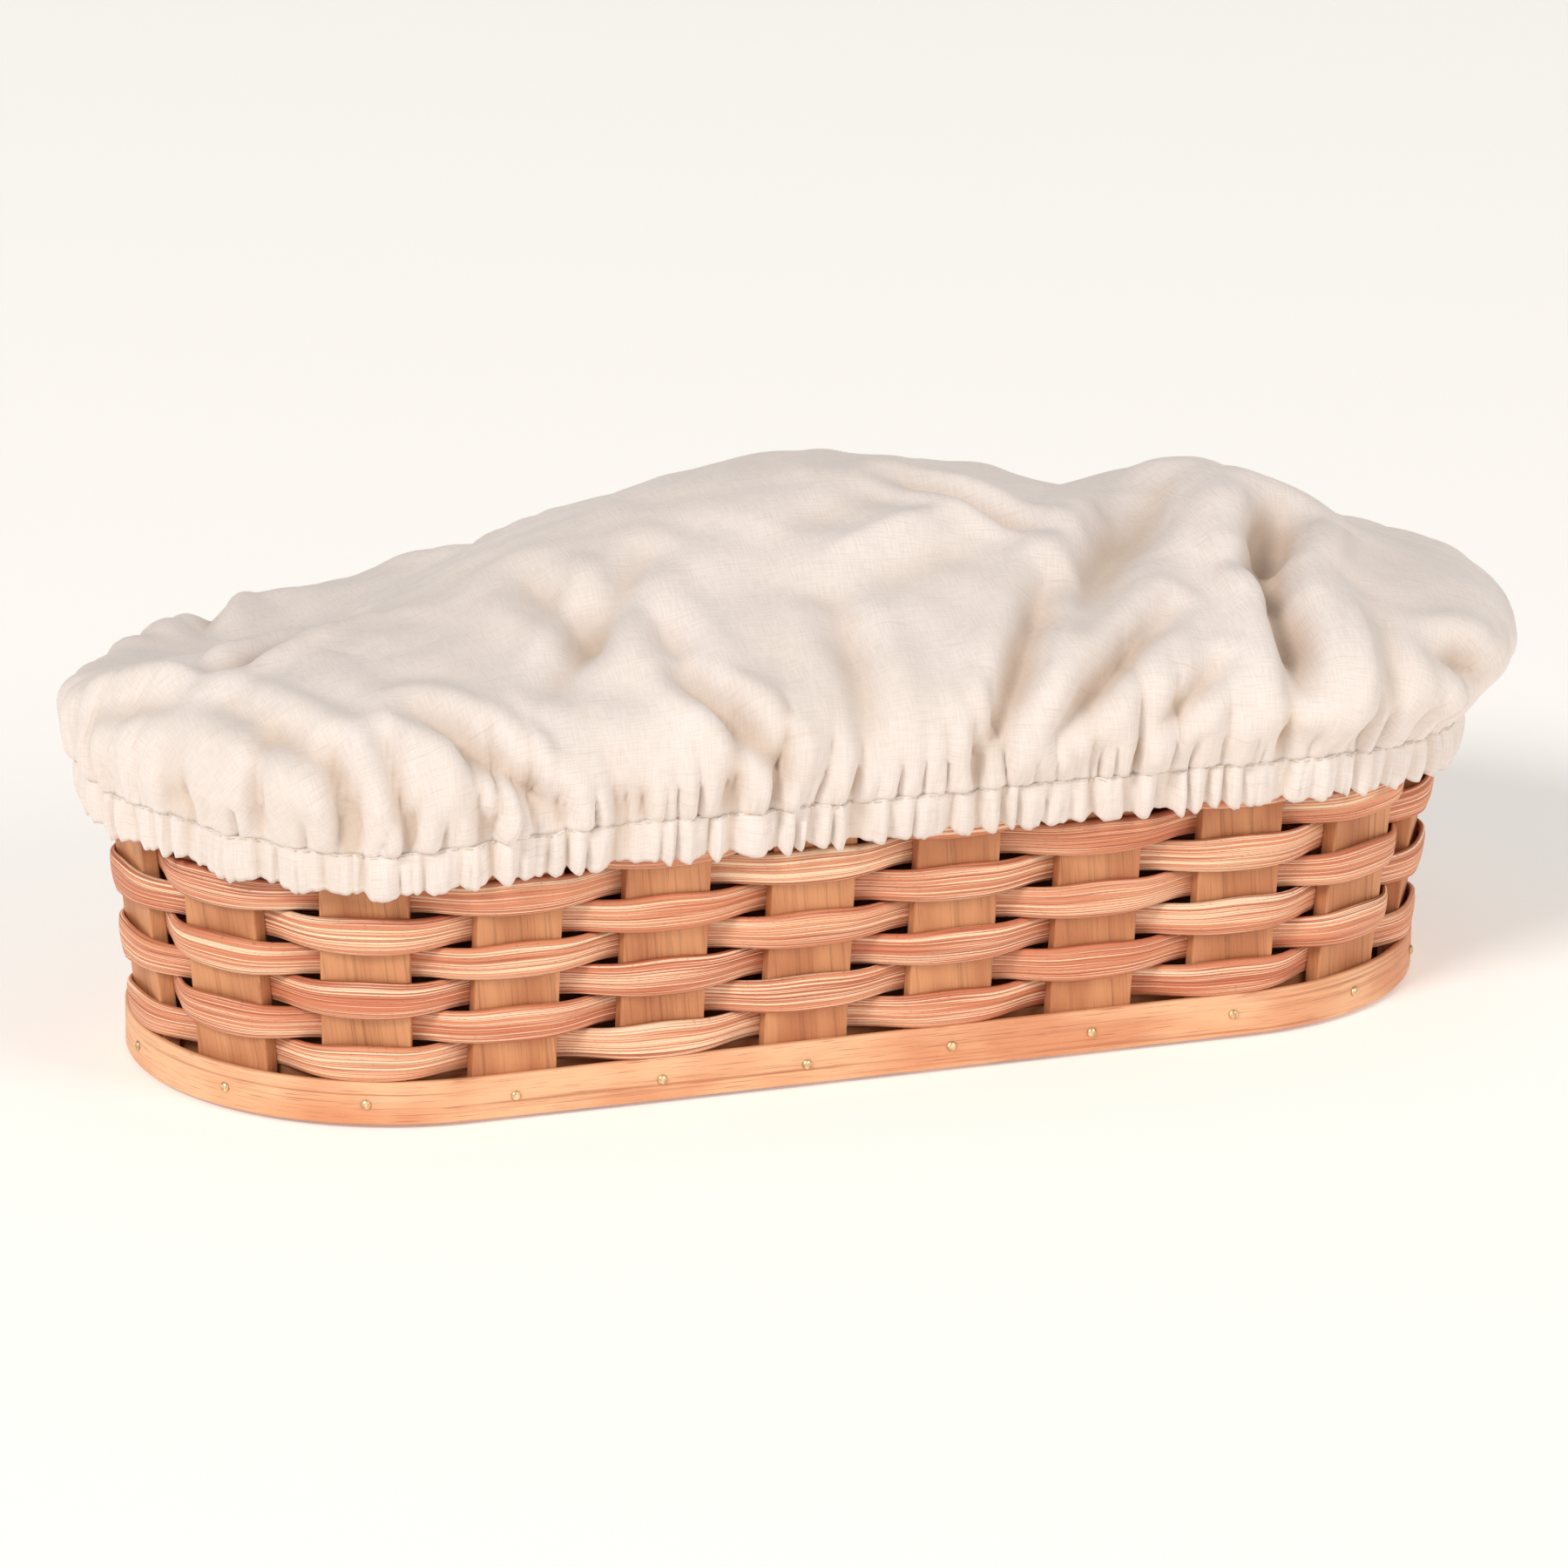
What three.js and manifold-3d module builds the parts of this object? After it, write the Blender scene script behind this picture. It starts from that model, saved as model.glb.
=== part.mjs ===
// A long, round-ended splint basket for resting bread dough, with a loose cloth cover.
// Millimetres, +Z up. The origin is the middle of the base board's underside. +X runs along
// the basket, and -Y is its front. The outline of the wall is two straight sides joined by
// two half circles, measured at the base band's outer face.
import * as THREE from "three";
import { mergeVertices } from "three/addons/utils/BufferGeometryUtils.js";
import Module from "manifold-3d";

const wasm = await Module();
wasm.setup();

// ---- Driving dimensions ----------------------------------------------------------------

// The outline.
const HALF_STRAIGHT = 105.7;
const END_RADIUS = 69.4;
const GAP = 0.3; // left between pieces that touch

// The upright stakes. Each stands straight against the board and then leans out.
const STAKE_COUNT = 22;
const FIRST_STAKE = 3; // along the front from the left tip to the first stake's middle
const STAKE_WIDTH = 22.5;
const STAKE_THICKNESS = 4.5;
const STAKE_BOTTOM = 1.2;
const STAKE_TOP = 86.9;
const LEAN_START = 13.4;
const LEAN_ANGLE = THREE.MathUtils.degToRad(6.5);

// The base: a board, with a thin band round it and the stakes' feet.
const BOARD_THICKNESS = 12.4;
const BAND_BOTTOM = 1;
const BAND_TOP = 12.4;
const BAND_THICKNESS = 2;

// The tacks that hold band, stake and board together.
const TACK_HEIGHT = 6.7;
const TACK_HEAD_RADIUS = 1.35;
const TACK_HEAD_RISE = 1;
const TACK_SHANK_RADIUS = 0.55;
const TACK_SHANK_LENGTH = 10.6;
const TACK_POINT_LENGTH = 1.6;
const TACK_HOLE_RADIUS = 0.9;

// The woven rows.
const ROW_COUNT = 7;
const FIRST_ROW_HEIGHT = 17;
const ROW_PITCH = 8.8;
const WEAVER_WIDTH = 8.4;
const WEAVER_THICKNESS = 2;
const WEAVE_CLEARANCE = 0.55; // between a weaver and the stake that it crosses
const CROSSING_EDGE = 0.32; // how far a weaver runs straight past a stake's middle, in pitches

// The rim: two hoops that hold the stakes' tops between them.
const RIM_BOTTOM = 74.6;
const RIM_TOP = 87.3;
const RIM_THICKNESS = 3;

// The cover: a loose cloth cap with a casing round its mouth, and an elastic in the casing.
const CASING_BOTTOM = 68;
const CASING_TOP = 79;
const CASING_INSIDE = 10.2; // outward from the outline
const CASING_DEPTH = 5;
const CLOTH_THICKNESS = 1.5;
const CROWN_HEIGHT = 118;
const CROWN_SWELL = 0.7; // how much higher the cover puffs at its highest point
const SWELL_CENTRE = 40;
const SWELL_SPREAD = 95;
const RIGHT_PUFF = 13; // how far the cover hangs further out over the right end
const LEFT_TUCK = 3; // how much less it hangs out over the left end
const CHANNEL_MARGIN = 1.4; // cloth round the elastic's channel
const ELASTIC_WIDTH = 6.6;
const ELASTIC_THICKNESS = 1.4;
const FEED_OPENING_LENGTH = 14;
const FEED_OPENING_HEIGHT = 4;

// Facets.
const HOOP_STEPS_PER_STAKE = 4;
const COVER_STEPS = 64;
const COVER_PROFILE_STEPS = 9;
const BOARD_END_STEPS = 20;
const HOLE_SIDES = 6;
const TACK_SIDES = 8;

// ---- Sizes worked out from those --------------------------------------------------------

const QUARTER_TURN = (Math.PI / 2) * END_RADIUS;
const OUTLINE_LENGTH = 4 * (HALF_STRAIGHT + QUARTER_TURN);
const STAKE_PITCH = OUTLINE_LENGTH / STAKE_COUNT;
const STAKE_FACE = -BAND_THICKNESS - GAP; // the stakes' outer face at their feet
const STAKE_MIDDLE = STAKE_FACE - STAKE_THICKNESS / 2;
const STAKE_BACK = STAKE_FACE - STAKE_THICKNESS;
const CUP = STAKE_WIDTH ** 2 / (8 * END_RADIUS); // how far a flat stake stands in at a round end
const BOARD_EDGE = STAKE_BACK - CUP - GAP;
const WEAVE_REACH = (STAKE_THICKNESS + WEAVER_THICKNESS) / 2 + WEAVE_CLEARANCE;

// ---- Materials --------------------------------------------------------------------------

function woodLook(color, roughness) {
  return () => new THREE.MeshStandardMaterial({ color, roughness, metalness: 0 });
}

const boardLook = woodLook(0x9a6238, 0.65);
const bandLook = woodLook(0xd39a5f, 0.5);
const stakeLook = woodLook(0xb97a45, 0.55);
const reedLook = woodLook(0xc77f57, 0.6);
const rimLook = woodLook(0xc98f56, 0.5);
const brassLook = () => new THREE.MeshStandardMaterial({ color: 0xb59a63, roughness: 0.35, metalness: 1 });
const muslinLook = () => new THREE.MeshStandardMaterial({ color: 0xefe6d8, roughness: 0.95, metalness: 0 });
const elasticLook = () => new THREE.MeshStandardMaterial({ color: 0xf4f1ea, roughness: 0.8, metalness: 0 });

// ---- Places on the wall -----------------------------------------------------------------

// A point of the outline is a turn about a point on the basket's middle line. This gives that
// point's x and the turn's angle, at a distance along the outline from the left tip. The
// outline runs along the front first.
function outlineAt(distance) {
  const along = THREE.MathUtils.euclideanModulo(distance, OUTLINE_LENGTH);
  const frontStart = QUARTER_TURN;
  const rightStart = frontStart + 2 * HALF_STRAIGHT;
  const backStart = rightStart + 2 * QUARTER_TURN;
  const leftStart = backStart + 2 * HALF_STRAIGHT;
  if (along < frontStart) {
    return { middle: -HALF_STRAIGHT, angle: Math.PI + along / END_RADIUS };
  }
  if (along < rightStart) {
    return { middle: along - frontStart - HALF_STRAIGHT, angle: -Math.PI / 2 };
  }
  if (along < backStart) {
    return { middle: HALF_STRAIGHT, angle: (along - rightStart) / END_RADIUS - Math.PI / 2 };
  }
  if (along < leftStart) {
    return { middle: HALF_STRAIGHT - (along - backStart), angle: Math.PI / 2 };
  }
  return { middle: -HALF_STRAIGHT, angle: Math.PI / 2 + (along - leftStart) / END_RADIUS };
}

// A point at a distance outward from the outline. With straightness below 1 the straight
// sides are shorter, which closes a dome over the middle.
function wallPoint(along, outward, height, straightness = 1) {
  const { middle, angle } = outlineAt(along);
  const radius = END_RADIUS + outward;
  return new THREE.Vector3(
    middle * straightness + radius * Math.cos(angle),
    radius * Math.sin(angle),
    height,
  );
}

// How far the wall leans out at a height.
function lean(height) {
  return Math.max(0, height - LEAN_START) * Math.tan(LEAN_ANGLE);
}

function stakeAlong(number) {
  return FIRST_STAKE + number * STAKE_PITCH;
}

// How far the flat stake at this place has to stand in, so that its edges clear the outline
// where it curves away.
function stakeInset(along) {
  const { middle } = outlineAt(along);
  const fromCurve = HALF_STRAIGHT - Math.abs(middle);
  const reach = Math.max(0, STAKE_WIDTH / 2 - fromCurve);
  return reach ** 2 / (2 * END_RADIUS);
}

// ---- Solids -----------------------------------------------------------------------------

// A merged, closed mesh whose faces point out.
function closed(geometry) {
  geometry.deleteAttribute("normal");
  geometry.deleteAttribute("uv");
  const merged = mergeVertices(geometry, 1e-3);
  const corner = [new THREE.Vector3(), new THREE.Vector3(), new THREE.Vector3()];
  const faces = [];
  let volume = 0;
  for (let i = 0; i < merged.index.count; i += 3) {
    const ids = [0, 1, 2].map((k) => merged.index.getX(i + k));
    if (new Set(ids).size < 3) {
      continue;
    }
    ids.forEach((id, k) => corner[k].fromBufferAttribute(merged.attributes.position, id));
    volume += corner[0].dot(corner[1].clone().cross(corner[2]));
    faces.push(ids);
  }
  merged.setIndex(faces.flatMap((ids) => (volume < 0 ? ids.toReversed() : ids)));
  return merged;
}

function toManifold(geometry) {
  return new wasm.Manifold(
    new wasm.Mesh({
      numProp: 3,
      vertProperties: new Float32Array(geometry.attributes.position.array),
      triVerts: new Uint32Array(geometry.index.array),
    }),
  );
}

function cut(geometry, cutters) {
  let solid = toManifold(geometry);
  for (const cutter of cutters) {
    solid = solid.subtract(toManifold(cutter));
  }
  const mesh = solid.getMesh();
  const result = new THREE.BufferGeometry();
  result.setAttribute("position", new THREE.BufferAttribute(mesh.vertProperties, 3));
  result.setIndex(new THREE.BufferAttribute(mesh.triVerts, 1));
  return result;
}

// A closed hoop of one section, carried round the outline. A station is a place on the
// outline, with how far the section is shifted outward there.
function hoop(section, stations) {
  const loop = [...section, section[0]];
  const geometry = new THREE.LatheGeometry(loop, stations.length);
  const { position, uv } = geometry.attributes;
  for (let i = 0; i < position.count; i += 1) {
    const station = stations[Math.round(uv.getX(i) * stations.length) % stations.length];
    const outward = Math.hypot(position.getX(i), position.getZ(i)) - END_RADIUS;
    const place = wallPoint(station.along, outward + station.shift, position.getY(i));
    position.setXYZ(i, place.x, place.y, place.z);
  }
  return closed(geometry);
}

// A four-sided section that leans with the wall, with its inner face a distance outward
// from the outline at the wall's foot.
function leaningSection(inner, thickness, bottom, top) {
  return [
    new THREE.Vector2(END_RADIUS + inner + lean(bottom), bottom),
    new THREE.Vector2(END_RADIUS + inner + thickness + lean(bottom), bottom),
    new THREE.Vector2(END_RADIUS + inner + thickness + lean(top), top),
    new THREE.Vector2(END_RADIUS + inner + lean(top), top),
  ];
}

function evenStations(count) {
  return Array.from({ length: count }, (_, i) => ({
    along: FIRST_STAKE + (i / count) * OUTLINE_LENGTH,
    shift: 0,
  }));
}

const hoopStations = evenStations(STAKE_COUNT * HOOP_STEPS_PER_STAKE);

// A straight hole along +X, from one outward distance to another.
function tackHole(from, to) {
  const hole = new THREE.CylinderGeometry(TACK_HOLE_RADIUS, TACK_HOLE_RADIUS, to - from, HOLE_SIDES);
  hole.rotateZ(-Math.PI / 2);
  hole.translate((from + to) / 2, 0, TACK_HEIGHT);
  return closed(hole);
}

// The holes for all tacks in a piece that runs round the outline.
function tackHolesAround(from, to) {
  return Array.from({ length: STAKE_COUNT }, (_, i) => {
    const along = stakeAlong(i);
    const place = wallPoint(along, 0, 0);
    return tackHole(from, to).rotateZ(outlineAt(along).angle).translate(place.x, place.y, 0);
  });
}

// ---- Pieces -----------------------------------------------------------------------------

function baseBoard() {
  const radius = END_RADIUS + BOARD_EDGE;
  const outline = new THREE.Shape();
  outline.absarc(HALF_STRAIGHT, 0, radius, -Math.PI / 2, Math.PI / 2);
  outline.absarc(-HALF_STRAIGHT, 0, radius, Math.PI / 2, 1.5 * Math.PI);
  const board = new THREE.ExtrudeGeometry(outline, {
    depth: BOARD_THICKNESS,
    bevelEnabled: false,
    curveSegments: BOARD_END_STEPS,
  });
  return cut(closed(board), tackHolesAround(-BAND_THICKNESS - TACK_SHANK_LENGTH, 0));
}

function baseBand() {
  const inner = END_RADIUS - BAND_THICKNESS;
  const section = [
    new THREE.Vector2(inner, BAND_BOTTOM),
    new THREE.Vector2(END_RADIUS, BAND_BOTTOM),
    new THREE.Vector2(END_RADIUS, BAND_TOP),
    new THREE.Vector2(inner, BAND_TOP),
  ];
  return cut(hoop(section, hoopStations), tackHolesAround(-BAND_THICKNESS - 1, 1));
}

// A flat stake in its own frame: x is outward from its face at the foot, y runs across it.
function stake() {
  const side = new THREE.Shape();
  side.moveTo(0, STAKE_BOTTOM);
  side.lineTo(0, LEAN_START);
  side.lineTo(lean(STAKE_TOP), STAKE_TOP);
  side.lineTo(lean(STAKE_TOP) - STAKE_THICKNESS, STAKE_TOP);
  side.lineTo(-STAKE_THICKNESS, LEAN_START);
  side.lineTo(-STAKE_THICKNESS, STAKE_BOTTOM);
  side.closePath();
  const slat = new THREE.ExtrudeGeometry(side, { depth: STAKE_WIDTH, bevelEnabled: false });
  slat.rotateX(Math.PI / 2);
  slat.translate(0, STAKE_WIDTH / 2, 0);
  return cut(closed(slat), [tackHole(-STAKE_THICKNESS - 1, 1)]);
}

// A tack that points along -X, with its head's underside at x = 0.
function tack() {
  const outline = [
    new THREE.Vector2(0, -TACK_SHANK_LENGTH),
    new THREE.Vector2(TACK_SHANK_RADIUS, TACK_POINT_LENGTH - TACK_SHANK_LENGTH),
    new THREE.Vector2(TACK_SHANK_RADIUS, 0),
    new THREE.Vector2(TACK_HEAD_RADIUS, 0),
    new THREE.Vector2(TACK_HEAD_RADIUS * 0.87, TACK_HEAD_RISE / 2),
    new THREE.Vector2(TACK_HEAD_RADIUS / 2, TACK_HEAD_RISE * 0.87),
    new THREE.Vector2(0, TACK_HEAD_RISE),
  ];
  const turned = new THREE.LatheGeometry(outline, TACK_SIDES);
  turned.rotateZ(-Math.PI / 2);
  return closed(turned);
}

// One woven row. It runs straight across each stake, outside every other stake and inside
// the ones between, and the next row does the opposite.
function weaver(row) {
  const stations = [];
  for (let i = 0; i < STAKE_COUNT; i += 1) {
    const side = (i + row) % 2 === 0 ? 1 : -1;
    const shift = side * WEAVE_REACH;
    stations.push({ along: stakeAlong(i - CROSSING_EDGE), shift });
    stations.push({ along: stakeAlong(i + CROSSING_EDGE), shift });
    stations.push({ along: stakeAlong(i + 0.5), shift: 0 });
  }
  const height = FIRST_ROW_HEIGHT + row * ROW_PITCH;
  const inner = STAKE_MIDDLE - WEAVER_THICKNESS / 2;
  const bottom = height - WEAVER_WIDTH / 2;
  const top = height + WEAVER_WIDTH / 2;
  return hoop(leaningSection(inner, WEAVER_THICKNESS, bottom, top), stations);
}

function outerRim() {
  return hoop(leaningSection(STAKE_FACE + GAP, RIM_THICKNESS, RIM_BOTTOM, RIM_TOP), hoopStations);
}

function innerRim() {
  const inner = STAKE_BACK - CUP - GAP - RIM_THICKNESS;
  return hoop(leaningSection(inner, RIM_THICKNESS, RIM_BOTTOM, RIM_TOP), hoopStations);
}

// The cover's section above its casing, as outward distance and height, from the casing to
// the crown. The inside is the same curve, one cloth thickness in.
function coverSection() {
  const casingOutside = CASING_INSIDE + CASING_DEPTH;
  const curve = new THREE.SplineCurve([
    new THREE.Vector2(casingOutside, CASING_TOP),
    new THREE.Vector2(19.5, 88),
    new THREE.Vector2(20, 97),
    new THREE.Vector2(13, 106),
    new THREE.Vector2(-7, 113),
    new THREE.Vector2(-40, 117),
    new THREE.Vector2(-END_RADIUS, CROWN_HEIGHT),
  ]);
  const outside = [];
  const inside = [];
  for (let i = 0; i <= COVER_PROFILE_STEPS; i += 1) {
    const point = curve.getPoint(i / COVER_PROFILE_STEPS);
    const tangent = curve.getTangent(i / COVER_PROFILE_STEPS);
    outside.push(point);
    inside.push(new THREE.Vector2(point.x - tangent.y * CLOTH_THICKNESS, point.y + tangent.x * CLOTH_THICKNESS));
  }
  inside[0].set(CASING_INSIDE, CASING_TOP);
  inside.at(-1).set(-END_RADIUS, CROWN_HEIGHT - CLOTH_THICKNESS);
  return [
    ...outside.toReversed(),
    new THREE.Vector2(casingOutside, CASING_BOTTOM),
    new THREE.Vector2(CASING_INSIDE, CASING_BOTTOM),
    ...inside,
  ].map((point) => new THREE.Vector2(END_RADIUS + point.x, point.y));
}

// Puffs the cover up towards its highest point and out over the right end.
function puff(place) {
  const above = Math.max(0, place.z - CASING_TOP);
  const swell = Math.exp(-(((place.x - SWELL_CENTRE) / SWELL_SPREAD) ** 2));
  const hang = Math.min(1, above / (CROWN_HEIGHT - CASING_TOP) / 0.4);
  const towardsEnd = (place.x / (HALF_STRAIGHT + END_RADIUS)) ** 2;
  place.x += hang * towardsEnd * (place.x > 0 ? RIGHT_PUFF : LEFT_TUCK);
  place.z += above * CROWN_SWELL * swell;
  return place;
}

function cover() {
  const geometry = new THREE.LatheGeometry(coverSection(), COVER_STEPS);
  const { position, uv } = geometry.attributes;
  for (let i = 0; i < position.count; i += 1) {
    const along = FIRST_STAKE + uv.getX(i) * OUTLINE_LENGTH;
    const radius = Math.hypot(position.getX(i), position.getZ(i));
    const straightness = Math.min(1, Math.sqrt(radius / END_RADIUS));
    const place = puff(wallPoint(along, radius - END_RADIUS, position.getY(i), straightness));
    position.setXYZ(i, place.x, place.y, place.z);
  }
  return cut(closed(geometry), [elasticChannel(), feedOpening()]);
}

// The space inside the casing that the elastic runs in.
function elasticChannel() {
  const inner = END_RADIUS + CASING_INSIDE + CHANNEL_MARGIN;
  const outer = END_RADIUS + CASING_INSIDE + CASING_DEPTH - CHANNEL_MARGIN;
  const section = [
    new THREE.Vector2(inner, CASING_BOTTOM + CHANNEL_MARGIN),
    new THREE.Vector2(outer, CASING_BOTTOM + CHANNEL_MARGIN),
    new THREE.Vector2(outer, CASING_TOP - CHANNEL_MARGIN),
    new THREE.Vector2(inner, CASING_TOP - CHANNEL_MARGIN),
  ];
  return hoop(section, evenStations(COVER_STEPS));
}

// The opening at the back, on the casing's inside, where the elastic is fed in.
function feedOpening() {
  const depth = 2 * CHANNEL_MARGIN;
  const opening = new THREE.BoxGeometry(FEED_OPENING_LENGTH, depth, FEED_OPENING_HEIGHT);
  const middle = (CASING_BOTTOM + CASING_TOP) / 2;
  opening.translate(0, END_RADIUS + CASING_INSIDE, middle);
  return closed(opening);
}

function hemElastic() {
  const centre = END_RADIUS + CASING_INSIDE + CASING_DEPTH / 2;
  const middle = (CASING_BOTTOM + CASING_TOP) / 2;
  const inner = centre - ELASTIC_THICKNESS / 2;
  const outer = centre + ELASTIC_THICKNESS / 2;
  const section = [
    new THREE.Vector2(inner, middle - ELASTIC_WIDTH / 2),
    new THREE.Vector2(outer, middle - ELASTIC_WIDTH / 2),
    new THREE.Vector2(outer, middle + ELASTIC_WIDTH / 2),
    new THREE.Vector2(inner, middle + ELASTIC_WIDTH / 2),
  ];
  return hoop(section, evenStations(COVER_STEPS));
}

// ---- The assembly -----------------------------------------------------------------------

const basket = new THREE.Group();
const coverGroup = new THREE.Group();
const group = new THREE.Group();
group.add(basket, coverGroup);

function add(parent, name, geometry, look) {
  const mesh = new THREE.Mesh(geometry, look());
  mesh.name = name;
  parent.add(mesh);
  return mesh;
}

function numbered(name, number) {
  return `${name}_${String(number + 1).padStart(2, "0")}`;
}

add(basket, "base_board", baseBoard(), boardLook);
add(basket, "base_band", baseBand(), bandLook);

const stakeShape = stake();
const tackShape = tack();
for (let i = 0; i < STAKE_COUNT; i += 1) {
  const along = stakeAlong(i);
  const { angle } = outlineAt(along);
  const stakeMesh = add(basket, numbered("stake", i), stakeShape, stakeLook);
  stakeMesh.position.copy(wallPoint(along, STAKE_FACE - stakeInset(along), 0));
  stakeMesh.rotation.z = angle;
  const tackMesh = add(basket, numbered("base_tack", i), tackShape, brassLook);
  tackMesh.position.copy(wallPoint(along, GAP, TACK_HEIGHT));
  tackMesh.rotation.z = angle;
}

for (let row = 0; row < ROW_COUNT; row += 1) {
  add(basket, numbered("weaver_row", row), weaver(row), reedLook);
}

add(basket, "rim_hoop_outer", outerRim(), rimLook);
add(basket, "rim_hoop_inner", innerRim(), rimLook);
add(coverGroup, "muslin_cover", cover(), muslinLook);
add(coverGroup, "hem_elastic", hemElastic(), elasticLook);

export default group;
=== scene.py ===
# %% [markdown]
# # A splint bread basket under a muslin cap
#
# This lesson builds the looks of a long, round-ended basket: reed woven over wide wood
# splints, a band tacked round its foot, and a loose muslin cover with an elastic hem. The
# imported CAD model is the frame. It gives every place and size, and each piece made here
# rides on one of its two bodies, the basket or the cover.

# %% Load the frame
import math
import random

import bmesh
import bpy
from mathutils import Euler, Matrix, Vector, noise


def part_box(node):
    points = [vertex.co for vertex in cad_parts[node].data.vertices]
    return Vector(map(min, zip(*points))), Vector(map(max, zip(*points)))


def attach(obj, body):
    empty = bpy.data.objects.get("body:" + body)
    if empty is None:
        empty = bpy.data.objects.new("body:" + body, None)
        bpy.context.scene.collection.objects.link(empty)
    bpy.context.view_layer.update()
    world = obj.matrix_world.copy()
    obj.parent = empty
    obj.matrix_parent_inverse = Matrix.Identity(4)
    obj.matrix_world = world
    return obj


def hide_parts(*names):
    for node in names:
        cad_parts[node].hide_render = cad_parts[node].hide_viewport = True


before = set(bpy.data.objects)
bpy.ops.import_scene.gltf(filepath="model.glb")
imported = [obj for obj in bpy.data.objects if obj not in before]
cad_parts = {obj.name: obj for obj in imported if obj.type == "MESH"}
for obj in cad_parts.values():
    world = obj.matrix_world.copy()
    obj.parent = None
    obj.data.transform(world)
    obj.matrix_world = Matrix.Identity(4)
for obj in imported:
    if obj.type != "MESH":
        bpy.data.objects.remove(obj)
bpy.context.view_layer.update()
MM = 0.001

# %% [markdown]
# ## The outline that everything follows
#
# The wall of the basket is a stadium: two straight sides joined by half circles. The base
# band's outer face is that outline, so its box gives both driving sizes. A stake stands at
# every 22nd part of the way round. The two functions below turn a place on the wall, given
# as distance along it, distance outward and height, into a point, and back again. With
# them, a piece can be thought of as lying flat and is then wrapped round the basket.

# %% The outline
BAND_LOW, BAND_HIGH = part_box("base_band")
END_RADIUS = (BAND_HIGH.y - BAND_LOW.y) / 2
HALF_STRAIGHT = (BAND_HIGH.x - BAND_LOW.x) / 2 - END_RADIUS
QUARTER = math.pi / 2 * END_RADIUS
OUTLINE_LENGTH = 4 * (HALF_STRAIGHT + QUARTER)
STAKE_COUNT = sum(name.startswith("stake_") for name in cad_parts)
ROW_COUNT = sum(name.startswith("weaver_row_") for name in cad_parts)
PITCH = OUTLINE_LENGTH / STAKE_COUNT
LEAN_START = 13.4 * MM
LEAN = math.tan(math.radians(6.5))


def lean(height):
    """How far the wall leans out at a height."""
    return max(0.0, height - LEAN_START) * LEAN


def outline_at(along):
    """The middle line's x and the turn's angle, at a distance along from the left tip."""
    along %= OUTLINE_LENGTH
    front, right = QUARTER, QUARTER + 2 * HALF_STRAIGHT
    back = right + 2 * QUARTER
    left = back + 2 * HALF_STRAIGHT
    if along < front:
        return -HALF_STRAIGHT, math.pi + along / END_RADIUS
    if along < right:
        return along - front - HALF_STRAIGHT, -math.pi / 2
    if along < back:
        return HALF_STRAIGHT, (along - right) / END_RADIUS - math.pi / 2
    if along < left:
        return HALF_STRAIGHT - (along - back), math.pi / 2
    return -HALF_STRAIGHT, math.pi / 2 + (along - left) / END_RADIUS


def wall_point(along, outward, height):
    """The point at that place on the wall."""
    middle, angle = outline_at(along)
    radius = END_RADIUS + outward
    return Vector((middle + radius * math.cos(angle), radius * math.sin(angle), height))


def wall_place(point):
    """The place on the wall, (along, outward, height), of a point."""
    x, y, height = point
    if abs(x) <= HALF_STRAIGHT:
        outward = abs(y) - END_RADIUS
        if y < 0:
            return QUARTER + x + HALF_STRAIGHT, outward, height
        return 3 * QUARTER + 3 * HALF_STRAIGHT - x, outward, height
    side = math.copysign(HALF_STRAIGHT, x)
    outward = math.hypot(x - side, y) - END_RADIUS
    angle = math.atan2(y, x - side)
    if x > 0:
        return 2 * QUARTER + 2 * HALF_STRAIGHT + angle * END_RADIUS, outward, height
    return (angle % (2 * math.pi) - math.pi) * END_RADIUS % OUTLINE_LENGTH, outward, height


print("outline in mm", round(OUTLINE_LENGTH / MM, 1), "stakes", STAKE_COUNT, "rows", ROW_COUNT)

# %% [markdown]
# ## Camera
#
# The basket is seen from its left front corner and from a little above, through a long lens
# from over two metres away, so its sides stay nearly parallel.

# %% Camera
CAMERA_AZIMUTH = math.radians(-19.9)
CAMERA_ELEVATION = math.radians(17.8)
CAMERA_ROLL = math.radians(0.6)
CAMERA_DISTANCE = 2.2515
CAMERA_AIM = Vector((0.0067, 0.0154, 0.0532))
camera = bpy.data.objects.new("camera", bpy.data.cameras.new("camera"))
bpy.context.collection.objects.link(camera)
camera.data.lens = 196.4
camera.data.clip_end = 20
towards = Euler((math.pi / 2 - CAMERA_ELEVATION, 0, CAMERA_AZIMUTH)).to_matrix()
camera.location = CAMERA_AIM + towards @ Vector((0, 0, CAMERA_DISTANCE))
camera.rotation_euler = (towards @ Matrix.Rotation(CAMERA_ROLL, 3, "Z")).to_euler()
bpy.context.scene.camera = camera

# %% [markdown]
# ## Arithmetic for materials
#
# A shader pattern is maths on numbers that vary over a surface. Written as nodes it is hard
# to read, so this small class lets a material be written as Python sums: every operator adds
# the Math node that it stands for. Any other node comes from `node`.

# %% Shader arithmetic


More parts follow.
